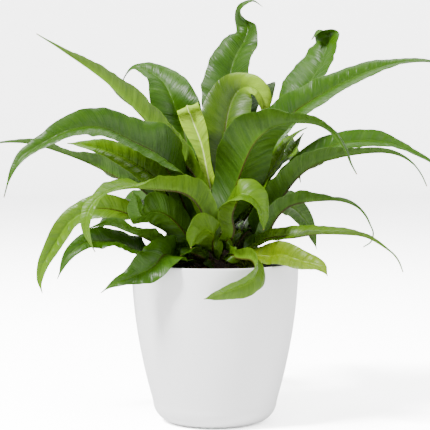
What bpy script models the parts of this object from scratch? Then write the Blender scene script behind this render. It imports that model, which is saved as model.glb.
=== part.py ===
"""A bird's nest fern in a round plastic cover pot.

Row frame: metres, +Z up. The origin is the centre of the pot's flat base, and the object's front faces -Y.
Each frond grows out of the crown in its own direction, and they are then eased apart so that no two touch.
"""

import math
from collections import namedtuple

import bmesh
import bpy
import numpy as np
from mathutils import Vector
from mathutils.bvhtree import BVHTree

MM = 0.001

# Cover pot: a turned shell whose side leans in towards a rounded base.
POT_RIM_RADIUS = 71.5 * MM
POT_HEIGHT = 137 * MM
POT_WALL = 2.4 * MM
POT_FLOOR = 3.0 * MM
POT_TAPER = 0.33
POT_TAPER_POWER = 1.9
POT_FOOT_ROUND = 18 * MM
POT_TURN_STEPS = 44
STAND_HEIGHT = 20 * MM
STAND_WIDTH = 5 * MM

# Nursery pot: the thin grower's pot, standing on the ring moulded inside the cover pot.
NURSERY_RIM_RADIUS = POT_RIM_RADIUS - 11.5 * MM
NURSERY_BASE_RADIUS = POT_RIM_RADIUS * 0.57
NURSERY_WALL = 1.4 * MM
NURSERY_RIM_DROP = 5 * MM
NURSERY_LIP = 2.6 * MM
NURSERY_LIP_DEPTH = 7 * MM

# Potting soil and the fern's crown.
SOIL_DROP = 4 * MM
SOIL_MOUND = 6 * MM
CROWN_RADIUS = 18 * MM
CROWN_HEIGHT = 17 * MM
CROWN_SINK = 3 * MM

SEAT_GAP = 0.3 * MM

# Fronds.
FERN_SCALE = 1.0
STATIONS = 22
STALK_WIDTH = 5.2 * MM
KEEL_AT_CROWN = 3.0 * MM
KEEL_AT_MIDDLE = 1.7 * MM
KEEL_AT_TIP = 0.8 * MM
TIP_WIDTH = 1.4 * MM
CHANNEL_AT_CROWN = 46
CHANNEL_AT_TIP = 12
SEAT_CLIMBS = (12, 32, 52, 74)
SEAT_LOYALTY = 0.3
FROND_CLEARANCE = 3.1 * MM
EASING_ROUNDS = 90
HOMING_ROUNDS = 55
HOMING = 0.05
EASING_REACH = 5 * MM
EASING_DEPTH = 9 * MM
SEAT_CLEARANCE = 0.5 * MM
CLEARING_ROUNDS = 80
NUDGE = 0.3 * MM
TRIM = 0.03
POT_CLEARANCE = 3.8 * MM
LANES = 7

# The fronds are listed from the lowest layer of the rosette to the highest.
# ring: 0 is the lowest circle of seats on the crown, 3 the highest.
# width: the blade's full width in mm, where along it that is, and how fast it narrows to the tip.
# roll: the blade's turn about its midrib, in degrees, at even steps from the crown to the tip.
# wave: height in mm and number of the ripples along the margin.
# route: points on the midrib, crown to tip, in mm: to the right of the pot's axis, behind it, above its rim.
Frond = namedtuple("Frond", "name ring width roll wave route")

FRONDS = (
    Frond("frond_left_low_wavy", 0, (32, 0.48, 1.6), (0, 0, -10, -10, 0), (3, 4), (
        (-24, -24, 3), (-36, -44, 3), (-48, -60, 1), (-60, -66, -3), (-72, -69, -8), (-83, -73, -12),
        (-92, -77, -18))),
    Frond("frond_front_over_rim", 0, (21, 0.6, 0.8), (0, 0, 0, 0, 0), (1, 3), (
        (11, -31, 9), (20, -47, 8), (31, -66, 5), (33, -79, -4), (24, -83, -11), (11, -83, -16), (-9, -80, -23))),
    Frond("frond_right_low_yellow", 0, (22, 0.55, 0.7), (0, 20, 40, 40, 20), (0.5, 2), (
        (21, -20, 7), (36, -37, 9), (54, -52, 10), (71, -63, 6), (84, -70, 3), (91, -76, -4))),
    Frond("frond_rear_rim_left", 0, (26, 0.5, 0.9), (0, 0, 0, 0, 0), (2, 4), (
        (-14, 40, 14), (-26, 76, 26), (-38, 112, 20), (-46, 138, -4))),
    Frond("frond_rear_rim_right", 0, (26, 0.5, 0.9), (0, 0, 0, 0, 0), (2, 4), (
        (10, 42, 14), (18, 82, 28), (26, 122, 22), (32, 150, -4))),
    Frond("frond_left_low", 0, (26, 0.45, 1.2), (0, -20, -40, -50, -40), (2, 4), (
        (-33, -16, 9), (-50, -22, 18), (-67, -28, 22), (-85, -34, 22), (-102, -40, 22), (-114, -44, 16),
        (-123, -47, 6), (-130, -48, -10))),
    Frond("frond_right_low", 0, (17, 0.45, 1.2), (0, 20, 0, -30, -20), (1, 3), (
        (27, -20, 8), (42, -28, 18), (59, -35, 22), (81, -44, 28), (103, -54, 29), (122, -62, 27), (138, -68, 18),
        (147, -72, 10), (152, -74, -1))),
    Frond("frond_front_left_short", 0, (15, 0.55, 0.8), (0, -10, -20, -10, 0), (1, 3), (
        (-12, -30, 10), (-16, -38, 14), (-22, -47, 14), (-28, -56, 8))),
    Frond("frond_left_crinkled_middle", 0, (25, 0.5, 0.8), (0, 0, 0, 0, 0), (2, 4), (
        (-36, -10, 18), (-59, -16, 28), (-80, -20, 32), (-98, -24, 32), (-109, -28, 30))),
    Frond("frond_left_drop", 0, (22, 0.5, 0.8), (0, -20, -40, -60, -60), (1, 3), (
        (-28, -2, 10), (-42, -2, 21), (-62, 0, 38), (-85, 2, 45), (-107, 4, 44), (-124, 5, 35), (-136, 6, 18), (-147, 6, -1),
        (-151, 6, -17), (-149, 6, -28))),
    Frond("frond_rear_left_low", 0, (26, 0.5, 0.9), (0, 0, 0, 0, 0), (2, 4), (
        (-28, 30, 24), (-54, 56, 42), (-82, 82, 44), (-104, 102, 24), (-114, 112, 2))),
    Frond("frond_rear_right_low", 0, (26, 0.5, 0.9), (0, 0, 0, 0, 0), (2, 4), (
        (26, 32, 24), (48, 62, 42), (70, 92, 42), (88, 116, 22), (96, 128, 0))),
    Frond("frond_right_curl", 1, (24, 0.33, 2.2), (0, -20, -35, -20, 0), (1, 3), (
        (18, -6, 18), (30, -11, 31), (45, -17, 42), (63, -23, 51), (84, -30, 55), (104, -36, 55), (120, -41, 48),
        (129, -43, 34), (131, -43, 23), (123, -41, 15))),
    Frond("frond_left_crinkled_back", 1, (28, 0.5, 0.8), (0, 0, 0, 0, 0), (2, 4), (
        (-28, 10, 25), (-48, 16, 39), (-65, 20, 46), (-81, 24, 50), (-95, 27, 48))),
    Frond("frond_front_star", 1, (30, 0.64, 0.5), (0, 0, 0, 0, 0), (1, 3), (
        (-2, -29, 13), (-4, -40, 25), (-9, -51, 31), (-16, -60, 28), (-20, -64, 17))),
    Frond("frond_left_crinkled_front", 1, (28, 0.5, 0.8), (0, 0, 0, 0, 0), (3, 5), (
        (-19, -20, 16), (-35, -36, 26), (-51, -48, 33), (-60, -56, 39), (-63, -60, 49), (-60, -61, 57),
        (-61, -60, 63))),
    Frond("frond_rear_middle", 1, (32, 0.5, 0.9), (0, 0, 0, 0, 0), (2, 4), (
        (-3, 36, 48), (-5, 76, 82), (-4, 122, 92), (-2, 160, 74), (0, 186, 40))),
    Frond("frond_rear_left_arch", 1, (34, 0.5, 0.9), (0, 0, 0, 0, 0), (2, 4), (
        (-16, 26, 50), (-32, 54, 86), (-52, 92, 102), (-70, 126, 92), (-82, 150, 64))),
    Frond("frond_rear_right_arch", 1, (34, 0.5, 0.9), (0, 0, 0, 0, 0), (2, 4), (
        (14, 30, 50), (30, 58, 88), (52, 92, 104), (70, 122, 92), (82, 146, 62))),
    Frond("frond_right_far_under", 1, (30, 0.35, 1.5), (0, -20, -30, -20, 0), (1, 3), (
        (37, -4, 40), (51, -9, 62), (70, -14, 76), (90, -18, 87), (114, -22, 93), (138, -26, 95), (156, -29, 91),
        (169, -31, 81), (177, -32, 66))),
    Frond("frond_left_straight", 1, (23, 0.45, 1.0), (0, 20, 30, 10, 0), (2, 4), (
        (-30, 0, 49), (-55, 2, 61), (-81, 4, 72), (-107, 6, 85), (-133, 8, 95), (-159, 10, 102), (-185, 12, 102),
        (-207, 14, 97))),
    Frond("frond_right_far", 1, (22, 0.55, 0.9), (0, 20, 40, 40, 20), (1, 3), (
        (41, 4, 48), (61, 10, 71), (82, 14, 88), (104, 18, 100), (128, 22, 103), (153, 26, 101), (172, 28, 93),
        (190, 30, 84), (203, 31, 74))),
    Frond("frond_left_front_drape", 1, (27, 0.4, 0.9), (0, 0, -10, -40, -50), (1.5, 4), (
        (-3, -22, 30), (-8, -29, 51), (-20, -38, 61), (-41, -53, 65), (-64, -70, 66), (-85, -84, 64),
        (-97, -92, 54), (-102, -96, 40), (-100, -96, 28), (-95, -94, 16))),
    Frond("frond_front_fold", 1, (31, 0.5, 0.8), (0, 0, 0, 0, 0), (1, 3), (
        (8, -27, 17), (13, -37, 36), (16, -45, 51), (22, -50, 60), (31, -53, 58), (38, -54, 48),
        (40, -54, 31))),
    Frond("frond_right_inner", 1, (27, 0.6, 0.9), (0, 10, 20, 20, 0), (1, 3), (
        (32, 12, 28), (46, 28, 62), (58, 43, 79), (69, 54, 93), (79, 62, 110))),
    Frond("frond_rear_upright", 1, (36, 0.5, 0.8), (0, 0, 0, 0, 0), (2, 4), (
        (13, 32, 40), (14, 46, 80), (21, 64, 115), (32, 85, 140), (43, 102, 152), (47, 122, 146), (49, 140, 126))),
    Frond("frond_left_inner", 2, (34, 0.45, 0.9), (0, -30, -50, -40, -20), (2, 4), (
        (-28, -5, 53), (-46, -10, 70), (-65, -15, 83), (-84, -20, 93), (-102, -25, 99), (-124, -29, 101))),
    Frond("frond_right_back_inner", 2, (26, 0.5, 0.9), (0, 10, 20, 10, 0), (1, 3), (
        (29, 5, 48), (38, 11, 63), (50, 20, 86), (62, 28, 101), (74, 36, 112), (81, 40, 115))),
    Frond("frond_right_front_arch", 2, (48, 0.36, 1.1), (-20, -40, -20, 0, 0), (1, 3), (
        (17, -14, 58), (24, -27, 84), (34, -40, 105), (49, -54, 117), (67, -66, 120), (83, -74, 118),
        (95, -80, 110), (104, -84, 97), (108, -86, 87), (113, -88, 78))),
    Frond("frond_left_great", 2, (48, 0.3, 1.2), (0, -35, -50, -45, -30), (2, 4), (
        (-15, -8, 48), (-28, -14, 74), (-46, -22, 91), (-70, -33, 104), (-94, -42, 115), (-118, -50, 113),
        (-142, -56, 101), (-158, -60, 90), (-166, -62, 76), (-172, -62, 58))),
    Frond("frond_back_left_curl", 2, (46, 0.58, 1.8), (0, -20, -45, -20, 0), (2, 4), (
        (-16, 18, 66), (-24, 33, 94), (-31, 46, 117), (-38, 54, 139), (-46, 64, 155), (-58, 72, 164),
        (-70, 76, 169), (-80, 78, 164), (-85, 78, 151))),
    Frond("frond_upper_left", 2, (34, 0.5, 1.1), (0, 30, 50, 40, 20), (1, 3), (
        (-20, 10, 70), (-38, 16, 98), (-56, 20, 118), (-75, 25, 138), (-95, 30, 156), (-117, 34, 172),
        (-137, 36, 185), (-156, 38, 197))),
    Frond("frond_upper_right", 2, (49, 0.72, 0.8), (0, 0, 0, 0, 0), (2, 3), (
        (31, 22, 65), (47, 42, 99), (66, 58, 128), (82, 70, 150), (94, 82, 168), (101, 90, 185), (104, 94, 197),
        (98, 92, 203), (91, 88, 200), (88, 85, 194))),
    Frond("frond_right_long", 2, (30, 0.45, 1.0), (0, 40, 50, 30, 10), (1, 3), (
        (29, 6, 65), (46, 14, 102), (65, 20, 125), (90, 27, 142), (117, 33, 156), (147, 38, 168), (176, 42, 173),
        (198, 44, 171), (215, 45, 163))),
    Frond("frond_tall_back", 3, (46, 0.6, 2.0), (0, 0, 0, 0, -60), (2, 4), (
        (8, 28, 92), (10, 54, 128), (13, 70, 156), (18, 80, 177), (27, 90, 194), (30, 94, 206), (24, 93, 214),
        (20, 88, 220), (28, 84, 227), (38, 80, 229), (43, 78, 223))),
    Frond("frond_heart_broad", 3, (48, 0.46, 0.5), (0, 0, 10, 20, 0), (2, 3), (
        (6, 20, 87), (8, 30, 112), (13, 38, 134), (20, 43, 150), (31, 44, 154), (40, 42, 147), (44, 39, 136),
        (42, 36, 122))),
    Frond("frond_heart_new", 3, (22, 0.75, 0.5), (0, 0, 0, 0, 0), (0, 2), (
        (-7, 7, 61), (-13, 9, 83), (-20, 11, 104), (-24, 12, 123), (-26, 10, 131), (-21, 6, 133))),
    Frond("frond_heart_pale", 3, (11, 0.7, 0.6), (0, 0, 0, 0, 0), (0, 2), (
        (12, 4, 55), (18, 6, 85), (20, 10, 102), (25, 14, 115), (26, 18, 126))),
)

COLOURS = {
    "cover_pot": ((0.90, 0.90, 0.90), 0.35),
    "nursery_pot": ((0.03, 0.03, 0.03), 0.5),
    "soil": ((0.04, 0.025, 0.018), 0.95),
    "crown": ((0.10, 0.06, 0.03), 0.9),
    "frond": ((0.20, 0.42, 0.06), 0.4),
}


def start_empty():
    """Clears the scene and makes the object's collection, with one empty at the base that carries every piece."""
    for thing in list(bpy.data.objects):
        bpy.data.objects.remove(thing)
    collection = bpy.data.collections.new("potted_fern")
    bpy.context.scene.collection.children.link(collection)
    collection.objects.link(bpy.data.objects.new("potted_fern_base", None))
    return collection


def material(name):
    colour, roughness = COLOURS[name]
    made = bpy.data.materials.get(name) or bpy.data.materials.new(name)
    made.use_nodes = True
    shader = made.node_tree.nodes["Principled BSDF"]
    shader.inputs["Base Color"].default_value = (*colour, 1)
    shader.inputs["Roughness"].default_value = roughness
    shader.inputs["Metallic"].default_value = 0
    return made


def add_object(collection, name, mesh, finish):
    made = bpy.data.objects.new(name, mesh)
    made.parent = collection.objects["potted_fern_base"]
    made.data.materials.append(material(finish))
    collection.objects.link(made)
    return made


def turned(collection, name, profile, finish, steps):
    """A solid turned about the Z axis from (radius, height) points that start and end on the axis."""
    mesh = bpy.data.meshes.new(name)
    points = [(radius, 0, height) for radius, height in profile]
    mesh.from_pydata(points, [(i, i + 1) for i in range(len(points) - 1)], [])
    made = add_object(collection, name, mesh, finish)
    screw = made.modifiers.new("turn", "SCREW")
    screw.steps = screw.render_steps = steps
    screw.use_merge_vertices = True
    screw.merge_threshold = 0.00001
    return made


def arc(centre, radii, start, end, count):
    """Points along a quarter of an ellipse, angles in degrees from the outward direction."""
    turns = np.radians(np.linspace(start, end, count))
    return [
        (centre[0] + radii[0] * math.cos(a), centre[1] + radii[1] * math.sin(a))
        for a in turns
    ]


def pot_side(height):
    """The cover pot's outer radius at a height above its base, without the rounded foot."""
    depth = (POT_HEIGHT - height) / POT_HEIGHT
    return POT_RIM_RADIUS * (1 - POT_TAPER * depth**POT_TAPER_POWER)


def pot_outline(inset, lowest, round_points):
    """The side and rounded foot, moved in by the inset, from the rim down to the floor's edge."""
    foot = lowest + POT_FOOT_ROUND - inset
    heights = np.linspace(POT_HEIGHT, foot, 9)
    side = [(pot_side(z) - inset, z) for z in heights[:-1]]
    radius = pot_side(foot) - inset
    turn = POT_FOOT_ROUND - inset
    return side + arc((radius - turn, foot), (turn, foot - lowest), 0, -90, round_points)


def cover_pot(collection):
    outside = pot_outline(0, 0, 7)
    inside = pot_outline(POT_WALL, POT_FLOOR, 5)
    floor_edge = inside[-1][0]
    stand_outer = min(NURSERY_BASE_RADIUS - SEAT_GAP, floor_edge)
    stand = [
        (stand_outer - STAND_WIDTH, POT_FLOOR),
        (stand_outer - STAND_WIDTH, STAND_HEIGHT),
        (stand_outer, STAND_HEIGHT),
        (stand_outer, POT_FLOOR + SEAT_GAP),
    ]
    profile = [(0, POT_FLOOR), *stand, *reversed(inside[:-1])]
    rim_lip = [(POT_RIM_RADIUS - POT_WALL / 2, POT_HEIGHT + POT_WALL / 3)]
    profile = [*profile, *rim_lip, *outside, (0, 0)]
    return turned(collection, "cover_pot", profile, "cover_pot", POT_TURN_STEPS)


def soil_height(radius):
    """Height of the soil's surface: level at the nursery pot's wall and heaped towards the crown."""
    share = min(radius / (NURSERY_RIM_RADIUS - NURSERY_WALL), 1)
    level = POT_HEIGHT - NURSERY_RIM_DROP - SOIL_DROP
    return level + SOIL_MOUND * (0.5 + 0.5 * math.cos(math.pi * share)) ** 0.8


def nursery_wall(height):
    """Outer radius of the nursery pot's straight side at a height."""
    foot = STAND_HEIGHT + SEAT_GAP
    rim = POT_HEIGHT - NURSERY_RIM_DROP
    share = (height - foot) / (rim - foot)
    return NURSERY_BASE_RADIUS + share * (NURSERY_RIM_RADIUS - NURSERY_BASE_RADIUS)


def nursery_pot(collection):
    foot = STAND_HEIGHT + SEAT_GAP
    rim = POT_HEIGHT - NURSERY_RIM_DROP
    lip = rim - NURSERY_LIP_DEPTH
    profile = [
        (0, foot + NURSERY_WALL),
        (nursery_wall(foot + NURSERY_WALL) - NURSERY_WALL, foot + NURSERY_WALL),
        (nursery_wall(rim) - NURSERY_WALL, rim),
        (nursery_wall(rim) + NURSERY_LIP, rim),
        (nursery_wall(lip) + NURSERY_LIP, lip),
        (nursery_wall(lip), lip),
        (nursery_wall(foot), foot),
        (0, foot),
    ]
    return turned(collection, "nursery_pot", profile, "nursery_pot", POT_TURN_STEPS)


def crown_base():
    """Height of the crown's underside, a little under the top of the heap."""
    return soil_height(0) - CROWN_SINK


def crown_profile(grow):
    """The crown's outline, a blunt dome on a short skirt, made larger by grow."""
    base = crown_base()
    skirt = (CROWN_RADIUS * 0.93 + grow, base - grow)
    shoulder = base + CROWN_HEIGHT * 0.3
    dome = arc((0, shoulder), (CROWN_RADIUS + grow, CROWN_HEIGHT * 0.7 + grow), 0, 90, 8)
    return skirt, dome


def soil(collection):
    """The root ball: it fills the nursery pot, with a shallow dish on top that the crown sits in."""
    bottom = STAND_HEIGHT + SEAT_GAP + NURSERY_WALL + SEAT_GAP
    skirt, _ = crown_profile(SEAT_GAP)
    dish_edge = CROWN_RADIUS + 2 * SEAT_GAP
    radii = np.linspace(dish_edge, NURSERY_RIM_RADIUS, 9)
    surface = []
    for radius in radii:
        height = soil_height(radius)
        wall = nursery_wall(height) - NURSERY_WALL - SEAT_GAP
        surface.append((min(radius, wall), height))
    profile = [
        (0, skirt[1]),
        skirt,
        *surface,
        (nursery_wall(bottom) - NURSERY_WALL - SEAT_GAP, bottom),
        (0, bottom),
    ]
    return turned(collection, "soil", profile, "soil", POT_TURN_STEPS)


def crown(collection):
    skirt, dome = crown_profile(0)
    dome[-1] = (0, dome[-1][1])
    profile = [*reversed(dome), skirt, (0, skirt[1])]
    return turned(collection, "crown", profile, "crown", 32)


def heading(frond):
    """The compass angle that a frond leans out to, in degrees from +X towards +Y."""
    middle = frond.route[: len(frond.route) // 2 + 1]
    right = sum(point[0] for point in middle)
    back = sum(point[1] for point in middle)
    return math.degrees(math.atan2(back, right)) % 360


def ring_seats(members, climb):
    """Seats on one circle of the crown: near each frond's own heading, but evenly spread."""
    members = sorted(members, key=heading)
    step = 360 / len(members)
    drift = sum(heading(f) - i * step for i, f in enumerate(members)) / len(members)
    shoulder = crown_base() + CROWN_HEIGHT * 0.3
    across, up = math.cos(math.radians(climb)), math.sin(math.radians(climb))
    for i, frond in enumerate(members):
        even = i * step + drift
        turn = math.radians(even + SEAT_LOYALTY * (heading(frond) - even))
        aim = Vector((math.cos(turn), math.sin(turn), 0))
        point = aim * across * CROWN_RADIUS + Vector((0, 0, shoulder + up * CROWN_HEIGHT * 0.7))
        slope = aim * across / CROWN_RADIUS + Vector((0, 0, up / (CROWN_HEIGHT * 0.7)))
        yield frond.name, (point, slope.normalized())


def crown_seats():
    """Where each frond's stalk meets the crown: the point and the crown's outward direction there."""
    seats = {}
    for ring, climb in enumerate(SEAT_CLIMBS):
        seats.update(ring_seats([f for f in FRONDS if f.ring == ring], climb))
    return seats


def smooth_line(points, count):
    """Points spaced evenly along a Catmull-Rom curve through the given points."""
    points = np.array(points, float)
    ends = np.vstack([2 * points[0] - points[1], points, 2 * points[-1] - points[-2]])
    fine = []
    for a, b, c, d in zip(ends, ends[1:], ends[2:], ends[3:]):
        for t in np.linspace(0, 1, 24, endpoint=False):
            fine.append(0.5 * (2 * b + (c - a) * t + (2 * a - 5 * b + 4 * c - d) * t**2
                               + (3 * b - a - 3 * c + d) * t**3))
    fine = np.array([*fine, points[-1]])
    along = np.concatenate([[0], np.cumsum(np.linalg.norm(np.diff(fine, axis=0), axis=1))])
    wanted = np.linspace(0, along[-1], count)
    return np.stack([np.interp(wanted, along, fine[:, k]) for k in range(3)], axis=1)


def unit(vectors):
    return vectors / np.linalg.norm(vectors, axis=-1, keepdims=True)


def keyed(values, share):
    """Values spread evenly from 0 to 1, read smoothly at the shares."""
    values = np.array(values, float)
    place = np.clip(share, 0, 1) * (len(values) - 1)
    low = np.minimum(place.astype(int), len(values) - 2)
    part = place - low
    part = part * part * (3 - 2 * part)
    return values[low] * (1 - part) + values[low + 1] * part


class Blade:
    """One frond's midrib line and the shape of its blade across it, at each station."""

    def __init__(self, frond, seat):
        self.frond = frond
        self.outward = np.array(seat[1])
        start = np.array(seat[0]) + self.outward * STALK_WIDTH / 2
        rim = np.array([0, 0, POT_HEIGHT])
        spots = [rim + np.array(spot) * MM * FERN_SCALE for spot in frond.route]
        self.centre = self.home = smooth_line([start, *spots], STATIONS)
        self.share = np.linspace(0, 1, STATIONS)
        turn = math.radians(heading(frond))
        self.start_side = np.array([-math.sin(turn), math.cos(turn), 0])
        self.width = self.half_width()
        self.thickness = keyed((KEEL_AT_CROWN, KEEL_AT_MIDDLE, KEEL_AT_TIP), self.share)
        self.update_frames()

    def half_width(self):
        full, widest, taper = self.frond.width
        leaf = np.sin(np.pi * self.share ** (math.log(0.5) / math.log(widest))).clip(0, 1)
        leaf = full * MM * FERN_SCALE / 2 * np.where(self.share < widest, leaf**2.1, leaf**taper)
        stalk = STALK_WIDTH / 2 * (1 - self.share) + TIP_WIDTH / 2 * self.share
        return np.sqrt(leaf**2 + stalk**2)

    def update_frames(self):
        """Carries the blade's sideways direction along the midrib without twisting it, then adds the roll."""
        along = unit(np.gradient(self.centre, axis=0))
        side = self.start_side
        sides = []
        for ahead in along:
            side = unit(side - (ahead @ side) * ahead)
            sides.append(side)
        side = np.array(sides)
        face = np.cross(along, side)
        roll = np.radians(keyed(self.frond.roll, self.share))[:, None]
        self.across = np.cos(roll) * side + np.sin(roll) * face
        self.face = np.cos(roll) * face - np.sin(roll) * side

    def lift(self, u):
        """How far the blade stands above its midrib plane at u, -1 to 1 across it."""
        channel = np.radians(CHANNEL_AT_CROWN + (CHANNEL_AT_TIP - CHANNEL_AT_CROWN) * self.share**0.6)
        height, count = self.frond.wave
        swell = np.sin(np.pi * self.share) * height * MM
        ripple = swell * np.sin(2 * np.pi * count * self.share + 1.3 * np.sign(u)) * abs(u) ** 2
        return abs(u) * self.width * np.sin(channel) + ripple, np.cos(channel)

    def points_at(self, u):
        lift, flat = self.lift(u)
        return (self.centre + (u * self.width * flat)[:, None] * self.across
                + lift[:, None] * self.face)

    def ring_lines(self):
        """The four lines that the blade is lofted along."""
        return [self.points_at(-1), self.centre, self.points_at(1), self.keel()]

    def fat_points(self):
        """The blade's corners with the blade made a seat gap thicker all over."""
        left, middle, right, keel = self.ring_lines()
        side = self.across * SEAT_GAP
        up = self.face * SEAT_GAP
        return np.stack([left - side, middle + up, right + side, keel - up], axis=1).reshape(-1, 3)

    def spread_spots(self):
        """Spots all over the blade, with the face direction at each and the box they fill."""
        spots = np.stack([self.points_at(u) for u in np.linspace(-1, 1, LANES)], axis=1)
        self.flat = spots.reshape(-1, 3)
        self.faces = np.repeat(self.face, LANES, axis=0)
        self.low = self.flat.min(0) - EASING_DEPTH
        self.high = self.flat.max(0) + EASING_DEPTH

    def keel(self):
        return self.centre - self.thickness[:, None] * self.face

    def nudge(self, stations, move):
        """Moves some stations of the midrib and narrows the blade there a little."""
        reach = np.zeros(STATIONS)
        reach[stations] = 1
        reach = np.maximum(reach, 0.5 * np.maximum(np.roll(reach, 1), np.roll(reach, -1)))
        moves = reach[:, None] * move
        moves[0] -= (moves[0] @ self.outward) * self.outward
        self.centre = self.centre + moves
        self.width = self.width * (1 - TRIM * reach)
        self.thickness = self.thickness * (1 - TRIM * reach)
        self.update_frames()


def keep_off_pot(spots, clearance):
    """How far each spot has to move so that it clears the pot, the soil and the pot's rim."""
    radius = np.linalg.norm(spots[:, :2], axis=1)
    outward = np.zeros_like(spots)
    outward[:, :2] = spots[:, :2] / np.maximum(radius, 1e-6)[:, None]
    height = spots[:, 2]
    wall = np.array([pot_side(min(max(z, 0), POT_HEIGHT)) for z in height])
    top = np.where(radius > POT_RIM_RADIUS - 3 * POT_WALL, POT_HEIGHT,
                   [soil_height(r) for r in radius])
    up_needed = top + clearance - height
    out_needed = wall + clearance - radius
    inside = (up_needed > 0) & (out_needed > 0)
    move = np.zeros_like(spots)
    go_up = inside & (up_needed <= out_needed)
    go_out = inside & ~go_up
    move[go_up, 2] = up_needed[go_up]
    move[go_out] = outward[go_out] * out_needed[go_out, None]
    return move


def height_over_crown(points):
    """Distance of points from the crown's dome, a little under the true one."""
    shoulder = crown_base() + CROWN_HEIGHT * 0.3
    spans = np.array([CROWN_RADIUS, CROWN_RADIUS, CROWN_HEIGHT * 0.7])
    reach = (points - np.array([0, 0, shoulder])) / spans
    reach[:, 2] = reach[:, 2].clip(0)
    far = np.linalg.norm(reach, axis=1)
    slope = np.linalg.norm(reach / spans, axis=1) / far
    return (far - 1) / slope


def keep_off_crown(spots, clearance):
    """How far each spot has to move so that it clears the crown."""
    away = spots - np.array([0, 0, crown_base()])
    need = np.maximum(clearance - height_over_crown(spots), 0)
    return unit(away) * need[:, None]


def close_pairs(lower, upper):
    """How two neighbouring blades have to move to clear each other: spots of each and their moves.

    The upper blade belongs on the face side of the lower one, and two blades that face each other stay so.
    """
    near_lower = np.where(((lower.flat > upper.low) & (lower.flat < upper.high)).all(1))[0]
    near_upper = np.where(((upper.flat > lower.low) & (upper.flat < lower.high)).all(1))[0]
    if not len(near_lower) or not len(near_upper):
        return None
    gap = upper.flat[near_upper][None] - lower.flat[near_lower][:, None]
    faces = lower.faces[near_lower][:, None], upper.faces[near_upper][None]
    agree = np.where((faces[0] * faces[1]).sum(2) >= 0, 1, -1)[..., None]
    normal = unit(faces[0] + agree * faces[1])
    above = (gap * normal).sum(2)
    beside = np.linalg.norm(gap - above[..., None] * normal, axis=2)
    close = (beside < EASING_REACH) & (abs(above) < EASING_DEPTH)
    need = np.maximum(np.where(close, FROND_CLEARANCE - above, 0), 0)
    if need.max() <= 0:
        return None
    shove = normal * (need**2)[..., None] / 2
    return near_lower // LANES, near_upper // LANES, shove, need


def smoothed(moves, passes):
    for _ in range(passes):
        padded = np.vstack([moves[:1], moves, moves[-1:]])
        moves = 0.25 * padded[:-2] + 0.5 * padded[1:-1] + 0.25 * padded[2:]
    return moves


def ease_apart(blades):
    """Moves each midrib, a little at a time, until the blades lie clear of each other and of the pot."""
    hold = np.ones((STATIONS, 1))
    hold[:3, 0] = 0, 0.6, 0.9
    for turn in range(EASING_ROUNDS):
        for blade in blades:
            blade.spread_spots()
        push = [np.zeros((STATIONS, 3)) for _ in blades]
        weight = [np.full(STATIONS, 1e-9) for _ in blades]
        for i, one in enumerate(blades):
            move = keep_off_pot(one.flat, POT_CLEARANCE) + keep_off_crown(one.flat, POT_CLEARANCE)
            size = np.linalg.norm(move, axis=1).reshape(STATIONS, -1)
            push[i] += (move.reshape(STATIONS, -1, 3) * size[..., None]).sum(1)
            weight[i] += size.sum(1)
            for j in range(i + 1, len(blades)):
                other = blades[j]
                if (one.low > other.high).any() or (other.low > one.high).any():
                    continue
                found = close_pairs(one, other)
                if found is None:
                    continue
                at_one, at_other, shove, need = found
                np.add.at(push[i], at_one, -shove.sum(1))
                np.add.at(weight[i], at_one, need.sum(1))
                np.add.at(push[j], at_other, shove.sum(0))
                np.add.at(weight[j], at_other, need.sum(0))
        for blade, moves, share in zip(blades, push, weight):
            step = smoothed(moves / share[:, None], 3)
            if turn < HOMING_ROUNDS:
                step += HOMING * (blade.home - blade.centre)
            blade.centre = blade.centre + step * hold
            blade.update_frames()


def seat_on_crown(blade):
    """Slides the foot of the stalk along the crown's slope until it is a seat gap away."""
    for _ in range(4):
        ring = np.array([line[0] for line in blade.ring_lines()])
        move = SEAT_CLEARANCE - height_over_crown(ring).min()
        blade.centre[:3] = blade.centre[:3] + blade.outward * move * np.array([[1], [0.6], [0.25]])
        blade.update_frames()


def loft_faces():
    """The loft's faces, each span's split so that the upper and lower walls stay parallel where the blade twists."""
    faces = [(0, 1, 2, 3)]
    for ring in range(STATIONS - 1):
        for k in range(4):
            near, after = 4 * ring + k, 4 * ring + (k + 1) % 4
            if k % 2:
                faces += [(near, after, near + 4), (after, after + 4, near + 4)]
            else:
                faces += [(near, after, after + 4), (near, after + 4, near + 4)]
    last = 4 * STATIONS - 4
    faces.append((last, last + 3, last + 2, last + 1))
    return faces


def touched_stations(faces_hit):
    return sorted({min(max(face - 1, 0) // 8, STATIONS - 1) for face in faces_hit})


def clear_of_fixed(blade, tree, fixed):
    """Moves a blade off one fixed piece; true if it had to move."""
    faces_hit = [hit[0] for hit in tree.overlap(fixed)]
    if not faces_hit:
        return False
    stations = touched_stations(faces_hit)
    spot = blade.centre[stations].mean(0)
    away = np.array([spot[0], spot[1], 0])
    away = away / max(np.linalg.norm(away), 1e-6) + np.array([0, 0, 1])
    blade.nudge(stations, NUDGE * unit(away))
    return True


def clear_of_each_other(lower, upper, trees):
    """Moves two blades apart where they touch; true if they had to move."""
    hits = trees[0].overlap(trees[1])
    if not hits:
        return False
    at_lower = touched_stations([hit[0] for hit in hits])
    at_upper = touched_stations([hit[1] for hit in hits])
    faces = lower.face[at_lower].mean(0), upper.face[at_upper].mean(0)
    normal = faces[0] + (1 if faces[0] @ faces[1] >= 0 else -1) * faces[1]
    normal = normal / np.linalg.norm(normal)
    lower.nudge(at_lower, -NUDGE * normal)
    upper.nudge(at_upper, NUDGE * normal)
    return True


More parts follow.
